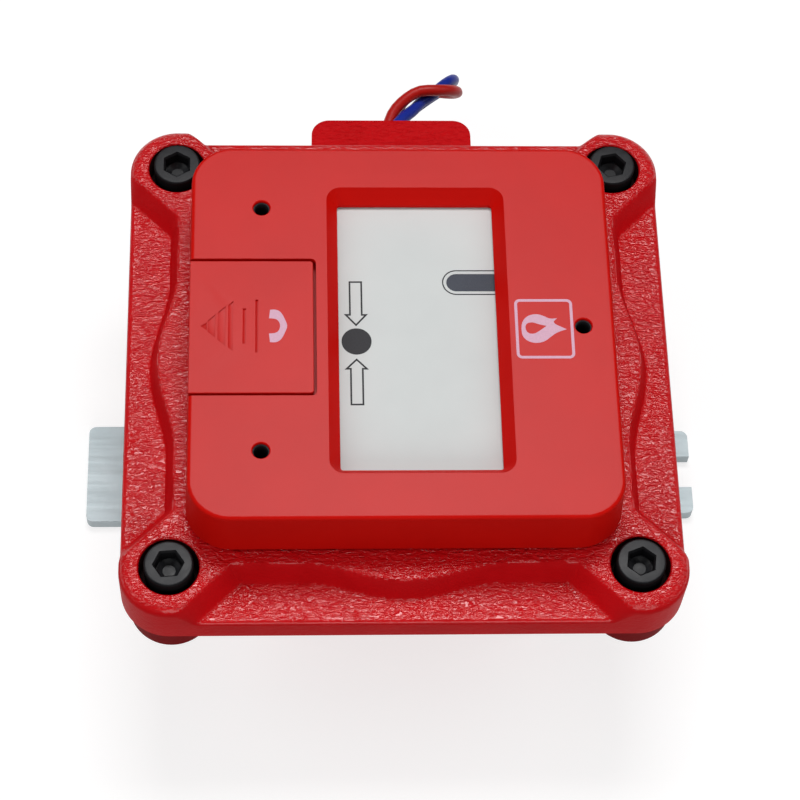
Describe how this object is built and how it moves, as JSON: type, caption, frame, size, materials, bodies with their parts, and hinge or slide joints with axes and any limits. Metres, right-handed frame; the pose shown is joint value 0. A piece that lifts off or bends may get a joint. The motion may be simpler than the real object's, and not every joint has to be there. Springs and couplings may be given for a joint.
{
  "type": "manual call point",
  "caption": "Square cast flameproof call point: hinged press plate in a bevelled window, sliding socket door, corner cap screws, side cable boss and wall strap.",
  "frame": {"origin": "centre of the lid screw pattern, on the back plane (back face of the wall strap)", "axes": "+Z out of the front, +X towards the device's upper edge as it hangs, +Y towards the cable boss"},
  "size_m": [0.138, 0.1554, 0.0708],
  "materials": {
    "cast_red": "hammertone paint on an aluminium casting",
    "plastic_red": "satin moulded plastic",
    "black_steel": "black oxide, lightly oiled",
    "zinc": "bright zinc plate",
    "plate_white": "satin white",
    "smoked": "smoked translucent",
    "rubber": "matte",
    "steel": "plain",
    "brass": "machined",
    "board_green": "solder mask on glass laminate",
    "dark_plastic": "moulded",
    "cream_plastic": "moulded",
    "led_red": "clear red",
    "clear_plastic": "polished acrylic",
    "lead_red": "PVC insulation",
    "lead_blue": "PVC insulation",
    "copper": "bare stranded copper"
  },
  "bodies": {
    "base": {"front_lid": "cast_red", "rear_housing": "cast_red", "front_cover": "plastic_red", "lid_screw_1": "black_steel", "lid_screw_2": "black_steel", "lid_screw_3": "black_steel", "lid_screw_4": "black_steel", "lid_washer_1": "black_steel", "lid_washer_2": "black_steel", "lid_washer_3": "black_steel", "lid_washer_4": "black_steel", "mounting_strap": "zinc", "strap_screw_1": "zinc", "strap_screw_2": "zinc", "entry_ring": "zinc", "jack_nut": "zinc", "lid_gasket": "rubber", "entry_seal": "rubber", "carrier_screw_1": "steel", "carrier_screw_2": "steel", "carrier_screw_3": "steel", "carrier_screw_4": "steel", "board_screw_1": "steel", "board_screw_2": "steel", "board_screw_3": "steel", "board_screw_4": "steel", "block_screw_1": "steel", "block_screw_2": "steel", "hinge_pin": "steel", "rod_spring": "steel", "terminal_screw_1": "brass", "terminal_screw_2": "brass", "terminal_screw_3": "brass", "terminal_screw_4": "brass", "earth_screw": "brass", "circuit_board": "board_green", "carrier_plate": "dark_plastic", "switch_body": "dark_plastic", "phone_jack": "dark_plastic", "terminal_block": "cream_plastic", "status_led": "led_red", "light_guide": "clear_plastic", "red_lead": "lead_red", "inner_lead_red": "lead_red", "blue_lead": "lead_blue", "inner_lead_blue": "lead_blue", "red_lead_tip": "copper", "blue_lead_tip": "copper"},
    "plate": {"press_plate": "plate_white", "indicator_window": "smoked"},
    "rod": {"push_rod": "cream_plastic", "rod_clip": "steel"},
    "plunger": {"switch_plunger": "led_red"},
    "door": {"jack_door": "plastic_red"}
  },
  "joints": [
    {"name": "plate_press", "type": "hinge", "parent": "base", "child": "plate", "pos_m": [0.0202, 0, 0.062], "axis": [0, -1, 0], "range_deg": [0, 4], "stiffness_Nm_per_rad": 1.3, "springref_deg": -1.72},
    {"name": "rod_slide", "type": "slide", "parent": "base", "child": "rod", "axis": [0, 0, -1], "range_m": [0, 0.0021], "deforming": ["rod_spring"]},
    {"name": "plunger_slide", "type": "slide", "parent": "base", "child": "plunger", "axis": [0, 0, -1], "range_m": [0, 0.0021]},
    {"name": "door_slide", "type": "slide", "parent": "base", "child": "door", "axis": [-1, 0, 0], "range_m": [0, 0.02]}
  ],
  "couplings": [
    {"joint": "rod_slide", "follows": "plate_press", "m_per_rad": 0.0296},
    {"joint": "plunger_slide", "follows": "plate_press", "m_per_rad": 0.0296}
  ]
}
